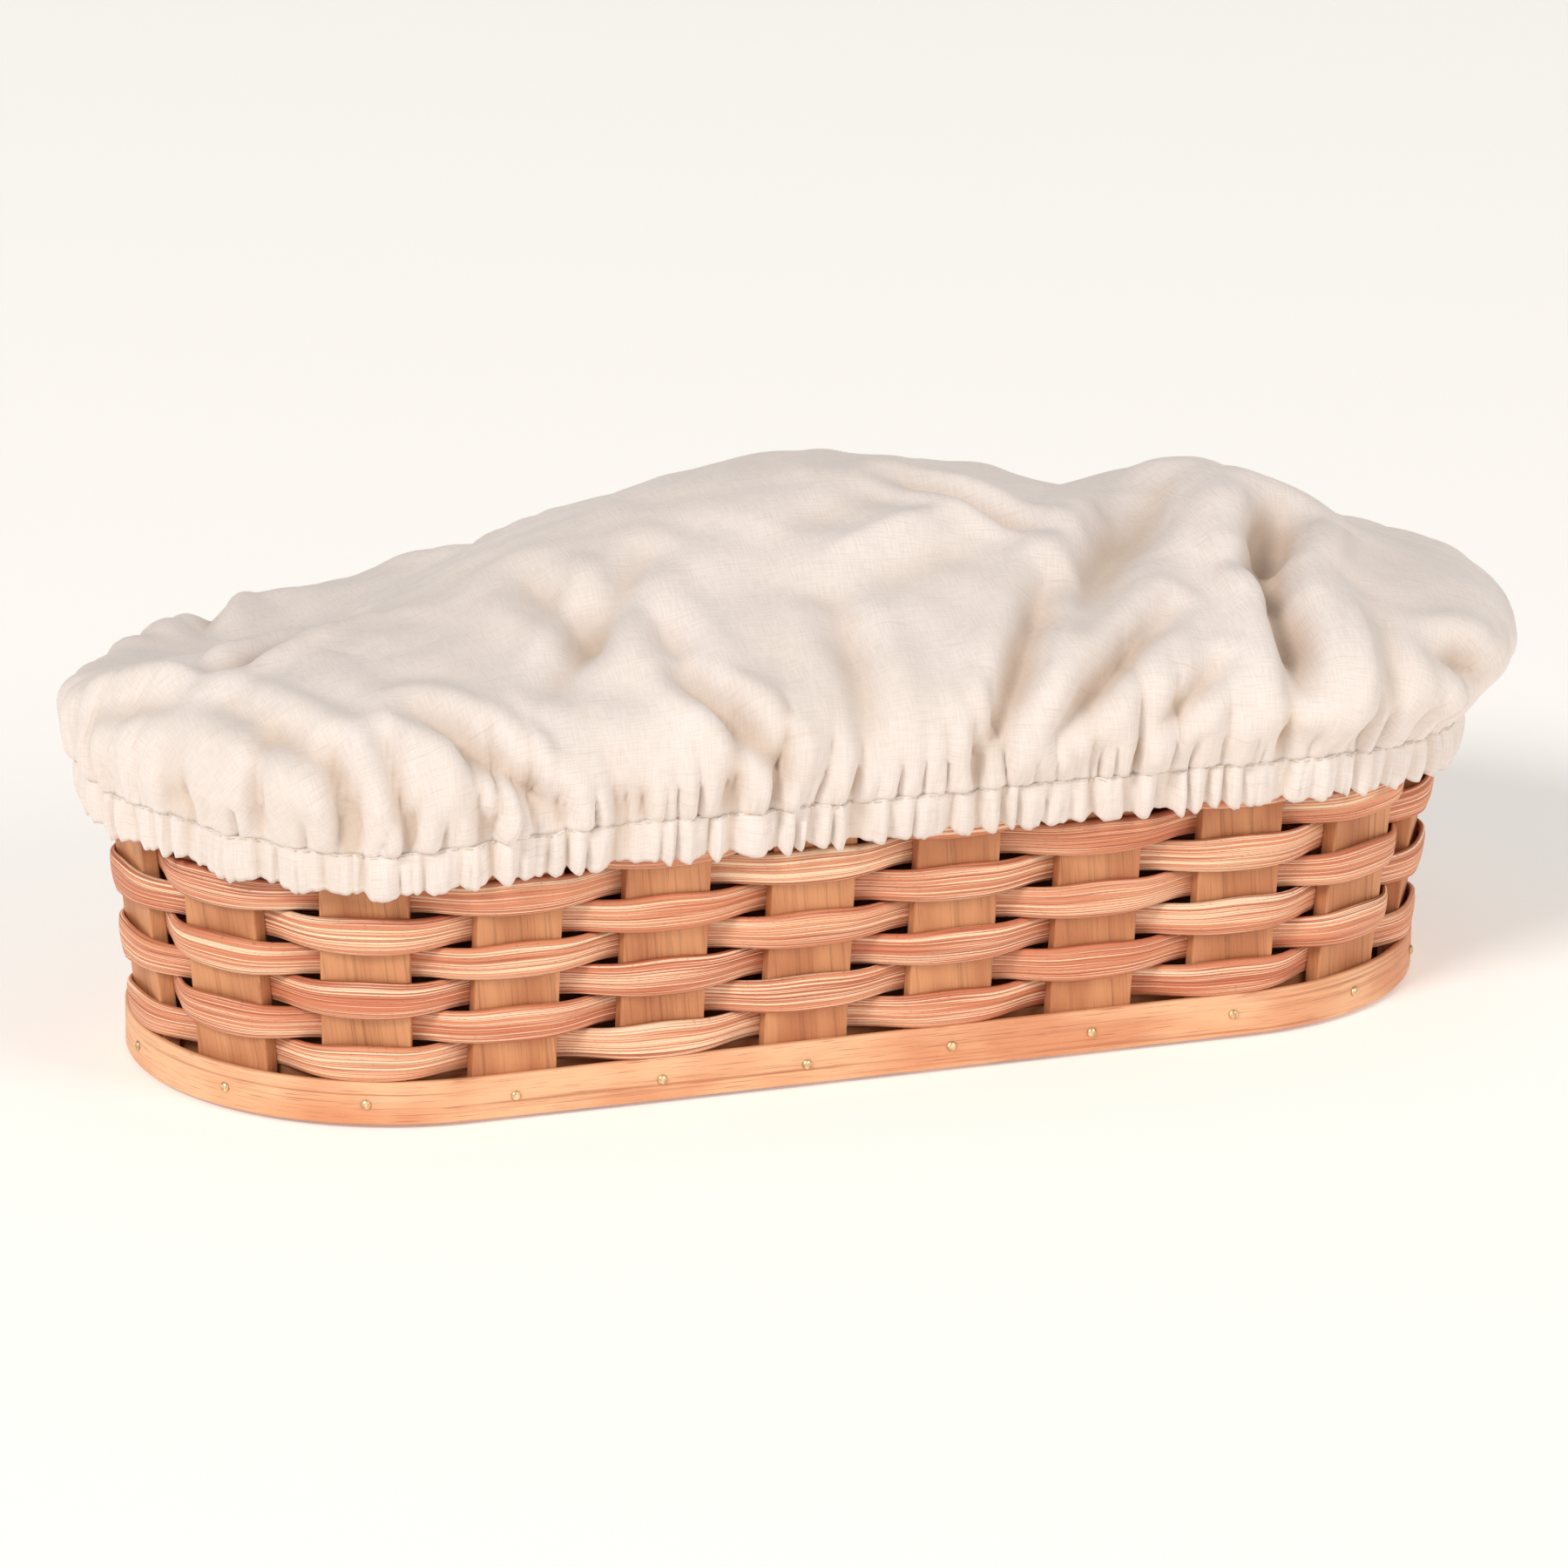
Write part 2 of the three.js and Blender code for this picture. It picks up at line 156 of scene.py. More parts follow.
class Value:
    """A number, colour or vector that varies over a surface: one output of a node."""

    def __init__(self, tree, socket):
        self.tree = tree
        self.socket = socket

    def node(self, kind, settings=None, sockets=None, output=0):
        """A new node of that kind: settings first, then values or links for its sockets."""
        made = self.tree.nodes.new("ShaderNode" + kind)
        for name, setting in (settings or {}).items():
            if name == "stops":
                set_stops(made.color_ramp, setting)
            else:
                setattr(made, name, setting)
        for name, value in (sockets or {}).items():
            if isinstance(value, Value):
                self.tree.links.new(value.socket, made.inputs[name])
            else:
                made.inputs[name].default_value = value
        return Value(self.tree, made.outputs[output])

    def math(self, operation, first, second=0.0):
        return self.node("Math", {"operation": operation}, {0: first, 1: second})

    def __add__(self, other):
        return self.math("ADD", self, other)

    def __sub__(self, other):
        return self.math("SUBTRACT", self, other)

    def __rsub__(self, other):
        return self.math("SUBTRACT", other, self)

    def __mul__(self, other):
        return self.math("MULTIPLY", self, other)

    def __pow__(self, other):
        return self.math("POWER", self, other)

    __radd__ = __add__
    __rmul__ = __mul__

    def smooth(self, low, high):
        """0 below low, 1 above high, and a smooth step between."""
        sockets = {"Value": self, "From Min": low, "From Max": high}
        return self.node("MapRange", {"interpolation_type": "SMOOTHSTEP"}, sockets)

    def mix(self, first, second):
        """A colour between two, with this value as the factor."""
        sockets = {"Factor": self, 6: first, 7: second}
        return self.node("Mix", {"data_type": "RGBA"}, sockets, output=2)

    def stretch(self, scale, offset=(0, 0, 0)):
        """This vector, scaled and moved along each axis."""
        return self.node("Mapping", {}, {"Vector": self, "Scale": scale, "Location": offset})

    def speckle(self, scale=1.0, detail=3.0, roughness=0.55, distortion=0.0):
        """Noise at this vector, about 0.5 on average."""
        sockets = {"Vector": self, "Scale": scale, "Detail": detail}
        sockets.update({"Roughness": roughness, "Distortion": distortion})
        return self.node("TexNoise", {"noise_dimensions": "3D"}, sockets)

    def bump(self, strength, distance):
        """A normal that this height raises, with its distance in metres."""
        return self.node("Bump", {}, {"Strength": strength, "Distance": distance, "Height": self})


def set_stops(ramp, stops):
    """Gives a colour ramp its stops, each a position and a colour."""
    while len(ramp.elements) < len(stops):
        ramp.elements.new(1.0)
    for element, (position, colour) in zip(ramp.elements, stops):
        element.position = position
        element.color = (*colour, 1.0)


def new_finish(name, **constants):
    """A material, its Principled shader with constants set, and a Value to build from."""
    material = bpy.data.materials.new(name)
    material.use_nodes = True
    tree = material.node_tree
    shader = tree.nodes["Principled BSDF"]
    for socket, value in constants.items():
        shader.inputs[socket.replace("_", " ")].default_value = value
    return material, shader, Value(tree, None)


def connect(shader, **values):
    """Links values to the shader's sockets that may vary."""
    for socket, value in values.items():
        value.tree.links.new(value.socket, shader.inputs[socket.replace("_", " ")])


def rgb(red, green, blue):
    """A linear colour from the 0 to 255 numbers that screens use."""
    linear = [((c / 255 + 0.055) / 1.055) ** 2.4 for c in (red, green, blue)]
    return (*linear, 1.0)


# %% [markdown]
# ## The reed's finish
#
# Flat-oval reed is the split core of rattan. Its fibres run the whole length as fine lines,
# some pale and some dark red where the stain soaked in. Each piece carries a map called Run
# whose first axis is distance along the reed and whose second is distance across it, in
# metres. Noise that is stretched thirty times along the first axis gives the fibres, and
# slower noise makes one length of reed paler, redder or duller than the next.

# %% Reed finish


def reed_finish(name):
    material, shader, start = new_finish(name, Roughness=0.6)
    run = start.node("UVMap", {"uv_map": "Run"}, {})
    lines = run.stretch((9, 2500, 1)).speckle(detail=2, roughness=0.6)
    fine_lines = run.stretch((26, 4600, 1), (3, 7, 0)).speckle(detail=2)
    broad_lines = run.stretch((7, 1700, 1), (11, 2, 0)).speckle(detail=2)
    length_tone = run.stretch((9, 120, 1), (5, 4, 0)).speckle(detail=2)
    row_tone = run.stretch((3, 25, 1), (1, 1, 0)).speckle(detail=1)
    pale = (lines * 0.85 + length_tone * 0.2).smooth(0.545, 0.6)
    dark = (broad_lines * 0.6 + fine_lines * 0.4).smooth(0.49, 0.57)
    flecks = run.stretch((700, 2600, 1)).speckle(detail=1)
    tone = (length_tone * 0.5 + row_tone * 0.5).smooth(0.35, 0.65)
    body = tone.mix(rgb(208, 124, 88), rgb(226, 154, 114))
    stained = (dark * 0.75).mix(body, rgb(160, 78, 50))
    streaked = (pale * 0.9).mix(stained, rgb(253, 222, 188))
    colour = (flecks.smooth(0.6, 0.75) * 0.35).mix(streaked, rgb(136, 66, 44))
    height = lines * 0.6 + fine_lines * 0.25 + broad_lines * 0.3
    connect(
        shader,
        Base_Color=colour,
        Roughness=0.5 + 0.2 * lines,
        Normal=height.bump(0.6, 0.3 * MM),
    )
    return material


REED = reed_finish("stained_reed")

# %% [markdown]
# ## The wood's finish
#
# The splints, the band, the rim and the board are all sawn or split wood under oil. The
# same recipe serves them all: long grain lines, short dark pores, and a slow drift of tone.
# Only the colours and the strength of the grain differ. The map Run again has the grain's
# direction as its first axis.

# %% Wood finish


def wood_finish(name, base, light, dark, grain=1.0, roughness=0.5):
    material, shader, start = new_finish(name)
    run = start.node("UVMap", {"uv_map": "Run"}, {})
    rings = run.stretch((6, 620, 1)).speckle(detail=4, roughness=0.6, distortion=0.3)
    pores = run.stretch((70, 3800, 1), (2, 5, 0)).speckle(detail=2)
    drift = run.stretch((22, 60, 1), (8, 1, 0)).speckle(detail=2)
    flecks = run.stretch((420, 1500, 1), (4, 4, 0)).speckle(detail=2, roughness=0.7)
    toned = drift.smooth(0.35, 0.65).mix(base, light)
    ringed = (rings.smooth(0.5, 0.72) * (0.55 * grain)).mix(toned, dark)
    pored = (pores.smooth(0.56, 0.7) * (0.45 * grain)).mix(ringed, dark)
    colour = (flecks.smooth(0.58, 0.74) * 0.22).mix(pored, light)
    height = rings * 0.5 + pores * 0.5
    connect(
        shader,
        Base_Color=colour,
        Roughness=roughness + 0.15 * pores,
        Normal=height.bump(0.35, 0.25 * MM),
    )
    return material


SPLINT = wood_finish("splint", rgb(186, 118, 76), rgb(212, 148, 102), rgb(124, 68, 38), 0.9)
BAND = wood_finish("band", rgb(218, 148, 106), rgb(240, 186, 142), rgb(164, 90, 56), 1.5, 0.45)
RIM = wood_finish("rim", rgb(206, 140, 88), rgb(226, 168, 114), rgb(150, 88, 48), 1.0, 0.48)
BOARD = wood_finish("board", rgb(150, 96, 58), rgb(176, 120, 76), rgb(84, 46, 24), 1.0, 0.6)

# %% [markdown]
# ## The brass finish
#
# The tacks are plain brass with a dull skin. Two slow noises tarnish them in patches.

# %% Brass finish


def brass_finish(name):
    material, shader, start = new_finish(name, Metallic=1.0)
    place = start.node("TexCoord", {}, {}, output=3)
    patches = place.speckle(scale=900, detail=3)
    colour = patches.smooth(0.35, 0.65).mix(rgb(196, 166, 122), rgb(238, 218, 180))
    connect(shader, Base_Color=colour, Roughness=0.28 + 0.25 * patches)
    return material


BRASS = brass_finish("dull_brass")

# %% [markdown]
# ## Making pieces
#
# These helpers finish a bmesh as an object. `run_map` writes the Run map: each face corner
# gets the distance along the wall and its height, measured from a seam that can be put
# anywhere, so that no face straddles it.

# %% Piece helpers


def finish_piece(name, shape, material, body, smooth=True, replaces=()):
    """Makes an object of a bmesh, gives it its finish and puts it on its body."""
    mesh = bpy.data.meshes.new(name)
    shape.to_mesh(mesh)
    shape.free()
    mesh.materials.append(material)
    mesh.polygons.foreach_set("use_smooth", [smooth] * len(mesh.polygons))
    piece = bpy.data.objects.new(name, mesh)
    bpy.context.collection.objects.link(piece)
    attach(piece, body)
    if replaces:
        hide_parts(*replaces)
    return piece


def run_map(shape, seam=0.0, across_shift=0.0):
    """The Run map of a piece that goes round the wall: along it, then up it."""
    layer = shape.loops.layers.uv.new("Run")
    for face in shape.faces:
        places = [wall_place(loop.vert.co) for loop in face.loops]
        alongs = [(place[0] - seam) % OUTLINE_LENGTH for place in places]
        crosses_seam = max(alongs) - min(alongs) > OUTLINE_LENGTH / 2
        for loop, place, along in zip(face.loops, places, alongs):
            if crosses_seam and along < OUTLINE_LENGTH / 2:
                along += OUTLINE_LENGTH
            loop[layer].uv = (along, place[2] + place[1] + across_shift)


def bevel_edges(shape, edges, width, segments=2):
    bmesh.ops.bevel(
        shape,
        geom=list(edges),
        offset=width,
        offset_type="OFFSET",
        affect="EDGES",
        segments=segments,
        profile=0.5,
        material=-1,
    )


def hoop(section, end_steps=36, side_steps=28):
    """A closed hoop: a section of (outward, height) points, carried round the outline.

    The section starts at the back left, is spun round the left end, pushed along the
    front, spun round the right end and pushed back along the back to where it began.
    """
    shape = bmesh.new()
    start = [
        shape.verts.new((-HALF_STRAIGHT, END_RADIUS + outward, height))
        for outward, height in section
    ]
    edges = [shape.edges.new(pair) for pair in zip(start, start[1:] + start[:1])]
    step = Vector((2 * HALF_STRAIGHT / side_steps, 0, 0))
    for side in (-1, 1):
        spun = bmesh.ops.spin(
            shape,
            geom=edges,
            cent=(side * HALF_STRAIGHT, 0, 0),
            axis=(0, 0, 1),
            angle=math.pi,
            steps=end_steps,
            use_merge=False,
        )
        edges = [item for item in spun["geom_last"] if isinstance(item, bmesh.types.BMEdge)]
        for _ in range(side_steps):
            pushed = bmesh.ops.extrude_edge_only(shape, edges=edges)["geom"]
            moved = [item for item in pushed if isinstance(item, bmesh.types.BMVert)]
            bmesh.ops.translate(shape, verts=moved, vec=-side * step)
            edges = [item for item in pushed if isinstance(item, bmesh.types.BMEdge)]
            edges = [edge for edge in edges if all(vert in moved for vert in edge.verts)]
    bmesh.ops.remove_doubles(shape, verts=shape.verts, dist=1e-6)
    bmesh.ops.recalc_face_normals(shape, faces=shape.faces)
    return shape


def move_on_wall(shape, change):
    """Moves every point: change gets (along, outward, height) and gives it back changed."""
    for vert in shape.verts:
        vert.co = wall_point(*change(*wall_place(vert.co)))


# %% [markdown]
# ## The woven rows
#
# Each row is flat-oval reed: flat inside, domed outside, with thin edges. On the real
# basket a wet length is threaded outside one stake and inside the next, and its ends
# overlap behind a stake. Here a domed section is carried round the outline, and then every
# point is shifted in or out by a flattened wave. The reed lies almost straight across a
# stake and steps through the wall between two. Where two rows cross between stakes they
# squeeze each other, so the reed is narrower there. Small wanders in height, width and tilt
# keep the rows from looking stamped.

# %% Woven rows
STAKE_THICKNESS = 4.5 * MM
STAKE_FACE = -2.3 * MM
STAKE_MIDDLE = STAKE_FACE - STAKE_THICKNESS / 2
FIRST_STAKE = 3 * MM
REED_WIDTH = 10.3 * MM
REED_THICKNESS = 1.6 * MM
REED_SQUEEZE = 0.16
WEAVE_REACH = 3.75 * MM
SECTION_POINTS = 7


def reed_section(middle, height):
    """The flat-oval section: an arc outside, and a flat inside with eased edges."""
    points = []
    for i in range(SECTION_POINTS):
        turn = math.pi * i / (SECTION_POINTS - 1)
        outward = REED_THICKNESS * (math.sin(turn) ** 0.5 - 0.4)
        points.append((middle + outward, height - REED_WIDTH / 2 * math.cos(turn)))
    points.append((middle - REED_THICKNESS * 0.5, height + REED_WIDTH * 0.42))
    points.append((middle - REED_THICKNESS * 0.5, height))
    points.append((middle - REED_THICKNESS * 0.5, height - REED_WIDTH * 0.42))
    return points


def row_height(row):
    low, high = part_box(f"weaver_row_{row + 1:02d}")
    return (low.z + high.z) / 2


def weave(row):
    """The change that turns a plain hoop of reed into a woven row."""
    middle_height = row_height(row)

    def change(along, outward, height):
        stakes = (along - FIRST_STAKE) / PITCH
        wave = math.cos(math.pi * (stakes + row))
        flattened = 1.6 * wave - 0.6 * wave**3
        wander = noise.noise(Vector((along * 28, row * 5.3, 0)))
        twist = noise.noise(Vector((along * 22, row * 3.1, 9)))
        crossing = 1 - wave * wave
        width = 1 + 0.05 * noise.noise(Vector((along * 40, row * 2.7, 4)))
        width *= 1 - REED_SQUEEZE * crossing
        across = (height - middle_height) * width
        tilt = 0.06 * twist * across
        new_height = middle_height + across + 0.35 * MM * wander
        new_outward = outward + WEAVE_REACH * flattened + tilt + lean(new_height)
        return along, new_outward, new_height

    return change


for row in range(ROW_COUNT):
    reed = hoop(reed_section(STAKE_MIDDLE, row_height(row)), end_steps=84, side_steps=82)
    run_map(reed, seam=OUTLINE_LENGTH * (0.62 + 0.03 * row), across_shift=row * 0.037)
    move_on_wall(reed, weave(row))
    name = f"reed_row_{row + 1:02d}"
    finish_piece(name, reed, REED, "basket", replaces=[f"weaver_row_{row + 1:02d}"])
print("woven rows", ROW_COUNT)

# %% [markdown]
# ## The stakes
#
# A stake is a flat splint of wood, a few millimetres thick, with its corners eased by
# scraping. The CAD solids have the right shape but sharp edges and loose triangles, so a
# copy of each is welded, its flat faces are cleaned and its edges are bevelled.

# %% Stakes
EASED_EDGE = 0.5 * MM


def welded_copy(node):
    """A bmesh of a CAD node with its triangles welded and its flat faces made whole."""
    shape = bmesh.new()
    shape.from_mesh(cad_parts[node].data)
    bmesh.ops.remove_doubles(shape, verts=shape.verts, dist=1e-6)
    bmesh.ops.dissolve_limit(
        shape, angle_limit=math.radians(1), verts=shape.verts, edges=shape.edges
    )
    return shape


def sharp_edges(shape, degrees=40):
    limit = math.radians(degrees)
    return [edge for edge in shape.edges if edge.calc_face_angle(0) > limit]


def grain_upwards(shape, centre, across, number):
    """The Run map of an upright splint: up it, then across it."""
    layer = shape.loops.layers.uv.new("Run")
    for face in shape.faces:
        for loop in face.loops:
            offset = loop.vert.co - centre
            side = offset.dot(across)
            depth = offset.dot(across.cross(Vector((0, 0, 1))))
            loop[layer].uv = (offset.z + number * 0.31, side + depth + number * 0.17)


for number in range(STAKE_COUNT):
    node = f"stake_{number + 1:02d}"
    splint = welded_copy(node)
    along = FIRST_STAKE + number * PITCH
    angle = outline_at(along)[1]
    across = Vector((-math.sin(angle), math.cos(angle), 0))
    bevel_edges(splint, sharp_edges(splint), EASED_EDGE)
    grain_upwards(splint, wall_point(along, 0, 0), across, number)
    name = f"splint_{number + 1:02d}"
    finish_piece(name, splint, SPLINT, "basket", False, replaces=[node])
print("stakes", STAKE_COUNT)

# %% [markdown]
# ## Board, band and rim
#
# The board is the CAD solid with its edges eased. The band and the two rim hoops are thin
# strips of wood bent round the basket: a rounded section carried round the outline.

# %% Board, band and rim


def strip_section(inner, thickness, bottom, top, ease):
    """A strip's section with its four corners cut, which reads as eased edges."""
    outer = inner + thickness
    low, high = bottom + ease, top - ease
    return [
        (inner + ease, bottom),
        (outer - ease, bottom),
        (outer - ease * 0.3, bottom + ease * 0.3),
        (outer, low),
        (outer, (low + high) / 2),
        (outer, high),
        (outer - ease * 0.3, top - ease * 0.3),
        (outer - ease, top),
        (inner + ease, top),
        (inner, high),
        (inner, low),
    ]


def lean_out(along, outward, height):
    return along, outward + lean(height), height


def grain_lengthwise(shape):
    """The Run map of the board: along the basket, then across it and up its edge."""
    layer = shape.loops.layers.uv.new("Run")
    for face in shape.faces:
        for loop in face.loops:
            place = loop.vert.co
            loop[layer].uv = (place.x, place.y + place.z)


board = welded_copy("base_board")
bevel_edges(board, sharp_edges(board, 60), 0.8 * MM)
grain_lengthwise(board)
finish_piece("floor_board", board, BOARD, "basket", False, ["base_board"])

BAND_THICKNESS = 2 * MM
band_section = strip_section(-BAND_THICKNESS, BAND_THICKNESS, BAND_LOW.z, BAND_HIGH.z, 0.45 * MM)
band = hoop(band_section, 64, 40)
run_map(band, seam=0.9 * OUTLINE_LENGTH)
finish_piece("foot_band", band, BAND, "basket", True, ["base_band"])

RIM_THICKNESS = 3 * MM
RIM_LOW, RIM_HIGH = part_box("rim_hoop_outer")
RIM_PLACES = {
    "rim_outside": ("rim_hoop_outer", -2.0 * MM),
    "rim_inside": ("rim_hoop_inner", -11.0 * MM),
}
for name, (node, inner) in RIM_PLACES.items():
    rim = hoop(strip_section(inner, RIM_THICKNESS, RIM_LOW.z, RIM_HIGH.z, 0.8 * MM), 64, 40)
    run_map(rim, seam=0.7 * OUTLINE_LENGTH)
    move_on_wall(rim, lean_out)
    finish_piece(name, rim, RIM, "basket", True, [node])

# %% [markdown]
# ## Tacks
#
# Each tack has a low domed head and a short shank. Its outline is spun about its axis and
# the tack is then turned to point into the wall. One stands in front of every stake at the
# foot, and a smaller one holds the two rim hoops together at every stake.

# %% Tacks
TACK_TURNS = 16


def tack_shape(head_radius, rise, shank_length):
    """A tack that points along -Y, its head's underside at y = 0."""
    shank = 0.42 * head_radius
    outline = [(0, -shank_length), (shank, 1.6 * MM - shank_length), (shank, 0)]
    outline += [(head_radius * 0.94, 0), (head_radius, rise * 0.16)]
    for degrees in (20, 45, 70):
        turn = math.radians(degrees)
        outline.append((head_radius * math.cos(turn), rise * (0.16 + 0.84 * math.sin(turn))))
    outline.append((0, rise))
    shape = bmesh.new()
    line = [shape.verts.new((radius, y, 0)) for radius, y in outline]
    edges = [shape.edges.new(pair) for pair in zip(line, line[1:])]
    bmesh.ops.spin(
        shape,
        geom=line + edges,
        cent=(0, 0, 0),
        axis=(0, 1, 0),
        angle=2 * math.pi,
        steps=TACK_TURNS,
        use_merge=True,
    )
    bmesh.ops.remove_doubles(shape, verts=shape.verts, dist=1e-7)
    bmesh.ops.recalc_face_normals(shape, faces=shape.faces)
    return shape


def drive_tack(shape, along, outward, height, tilt=0.0):
    """Turns a tack to point into the wall and puts its head there."""
    angle = outline_at(along)[1] - math.pi / 2
    turn = Matrix.Rotation(angle, 3, "Z") @ Matrix.Rotation(tilt, 3, "X")
    bmesh.ops.rotate(shape, verts=shape.verts, cent=(0, 0, 0), matrix=turn)
    bmesh.ops.translate(shape, verts=shape.verts, vec=wall_point(along, outward, height))


TACK_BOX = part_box("base_tack_05")
TACK_HEIGHT = (TACK_BOX[0].z + TACK_BOX[1].z) / 2
RIM_TACK_HEIGHT = (RIM_LOW.z + RIM_HIGH.z) / 2
chance = random.Random(7)
for number in range(STAKE_COUNT):
    along = FIRST_STAKE + number * PITCH
    tack = tack_shape(1.35 * MM, 0.9 * MM, 10 * MM)
    jitter = chance.uniform(-0.5, 0.5) * MM
    drive_tack(tack, along + jitter, 0.02 * MM, TACK_HEIGHT + chance.uniform(-0.4, 0.4) * MM)
    node = f"base_tack_{number + 1:02d}"
    name = f"foot_tack_{number + 1:02d}"
    finish_piece(name, tack, BRASS, "basket", True, [node])
    rim_tack = tack_shape(1.1 * MM, 0.7 * MM, 9 * MM)
    outward = RIM_PLACES["rim_outside"][1] + RIM_THICKNESS + lean(RIM_TACK_HEIGHT)
    drive_tack(rim_tack, along, outward, RIM_TACK_HEIGHT, math.radians(6.5))
    finish_piece(f"rim_tack_{number + 1:02d}", rim_tack, BRASS, "basket")
print("tacks", 2 * STAKE_COUNT)

# %% [markdown]
# ## The cover: one flat oval of muslin
#
# The cover is a shower cap: a flat oval of muslin whose edge is folded into a casing and
# drawn in by elastic, so the edge becomes shorter than it was cut and the cloth puckers.
# The honest way to get that look is to start from the flat oval. A grid is bent into a
# stadium for the middle, so that there is no pole, and its border is then extruded outward
# in rings that pucker cleanly. Every point keeps its flat place, which is also its UV map
# and the length that its threads want to have.

# %% The flat cloth
CLOTH_RADIUS = 126 * MM
MIDDLE_RADIUS = 44 * MM
END_CELLS = 18
SIDE_CELLS = 72
RING_COUNT = 23


def bent_grid_point(column, row):
    """Bends a grid's corner into a stadium of radius 1, with straight sides in the middle."""
    across = row / END_CELLS - 1
    if column < END_CELLS:
        out = column / END_CELLS - 1
    elif column > END_CELLS + SIDE_CELLS:
        out = (column - END_CELLS - SIDE_CELLS) / END_CELLS
    else:
        return (2 * (column - END_CELLS) / SIDE_CELLS - 1) * HALF_STRAIGHT, 0.0, across
    spine = math.copysign(HALF_STRAIGHT, out)
    return spine, out * math.sqrt(1 - across**2 / 2), across * math.sqrt(1 - out**2 / 2)


def flat_cloth():
    """The oval, flat: a bent grid in the middle and rings extruded from its border."""
    shape = bmesh.new()
    columns = 2 * END_CELLS + SIDE_CELLS
    bmesh.ops.create_grid(shape, x_segments=columns, y_segments=2 * END_CELLS, size=1)
    for vert in shape.verts:
        column = (vert.co.x + 1) / 2 * columns
        row = (vert.co.y + 1) * END_CELLS
        spine, out, across = bent_grid_point(column, row)
        vert.co = (spine + out * MIDDLE_RADIUS, across * MIDDLE_RADIUS, 0)
    edges = [edge for edge in shape.edges if edge.is_boundary]
    for ring in range(RING_COUNT):
        radius = MIDDLE_RADIUS + (CLOTH_RADIUS - MIDDLE_RADIUS) * (ring + 1) / RING_COUNT
        pushed = bmesh.ops.extrude_edge_only(shape, edges=edges)["geom"]
        moved = [item for item in pushed if isinstance(item, bmesh.types.BMVert)]
        for vert in moved:
            spine = Vector((max(-HALF_STRAIGHT, min(HALF_STRAIGHT, vert.co.x)), 0, 0))
            vert.co = spine + (vert.co - spine).normalized() * radius
        ends = set(moved)
        edges = [item for item in pushed if isinstance(item, bmesh.types.BMEdge)]
        edges = [edge for edge in edges if edge.verts[0] in ends and edge.verts[1] in ends]
    layer = shape.loops.layers.uv.new("Cut")
    for face in shape.faces:
        for loop in face.loops:
            loop[layer].uv = loop.vert.co.xy
    return shape


# %% [markdown]
# ## The cover: the form it is pulled over
#
# Each flat point is sent to its place on a soft, uneven dome. A section of the dome runs
# from the spine over a shoulder, round a bulge and in to the stitch line. Mounds raise it
# where the cloth stands up. Distance is shared out evenly along the section, so the cloth
# is nowhere pulled, only slack.

# %% The dome
HEM_OUTWARD = 10.4 * MM
HEM_HEIGHT = 79 * MM
HEM_SAGS = [  # where along, how far down, how wide
    (84 * MM, 3.2 * MM, 24 * MM),
    (415 * MM, 7.0 * MM, 60 * MM),
]
BULGE_HEIGHT = 91 * MM
CROWN_HEIGHT = 116 * MM
FRONT_BULGE = 12.5 * MM
LEFT_BULGE = 14 * MM
RIGHT_BULGE = 25 * MM
MOUNDS = [  # x, y, rise, half length, half depth
    (10, 8, 28, 84, 62),
    (-70, -6, 7, 44, 40),
    (-135, 44, -21, 56, 38),
    (124, 4, 13, 36, 46),
    (94, 10, -5, 13, 60),
    (166, 30, -8, 28, 30),
]
SECTION_STEPS = 48


def bulge_at(x):
    """How far the cloth stands out of the outline, at its widest."""
    if x < 0:
        return FRONT_BULGE + (LEFT_BULGE - FRONT_BULGE) * min(1, -x / 0.17)
    return FRONT_BULGE + (RIGHT_BULGE - FRONT_BULGE) * min(1, x / 0.17) ** 2.5


def mound_rise(x, y):
    rise = 0.0
    for middle_x, middle_y, height, half_length, half_depth in MOUNDS:
        a = (x / MM - middle_x) / half_length
        b = (y / MM - middle_y) / half_depth
        rise += height * MM * math.exp(-a * a - b * b)
    return rise


def hem_height(along):
    """The stitch line's height: it wanders a little, and sags round the two front turns."""
    sag = sum(drop * math.exp(-(((along - place) / wide) ** 2)) for place, drop, wide in HEM_SAGS)
    turn = 2 * math.pi * along / OUTLINE_LENGTH
    wander = noise.noise(Vector((5 * math.cos(turn), 5 * math.sin(turn), 3)))
    return HEM_HEIGHT + 1.2 * MM * wander - sag


def dome_section(spine_x, direction):
    """Points from the spine to the stitch line, for one direction."""
    points = []
    border = Vector((spine_x, 0, 0)) + direction * END_RADIUS
    hem = hem_height(wall_place(border)[0])
    for i in range(SECTION_STEPS + 1):
        turn = math.pi / 2 * i / SECTION_STEPS
        bulge = bulge_at(spine_x + direction.x * END_RADIUS)
        reach = (END_RADIUS + bulge) * math.sin(turn) ** 0.8
        place = Vector((spine_x, 0, 0)) + direction * reach
        rise = CROWN_HEIGHT - BULGE_HEIGHT + mound_rise(place.x, place.y)
        place.z = BULGE_HEIGHT + rise * math.cos(turn) ** 0.8
        points.append(place)
    for i in range(1, 9):
        part = i / 8
        swell = 0.5 + 0.5 * math.cos(math.pi * part**0.8)
        outward = HEM_OUTWARD + (bulge - HEM_OUTWARD) * swell
        place = Vector((spine_x, 0, 0)) + direction * (END_RADIUS + outward)
        place.z = BULGE_HEIGHT + (hem - BULGE_HEIGHT) * part
        points.append(place)
    return points


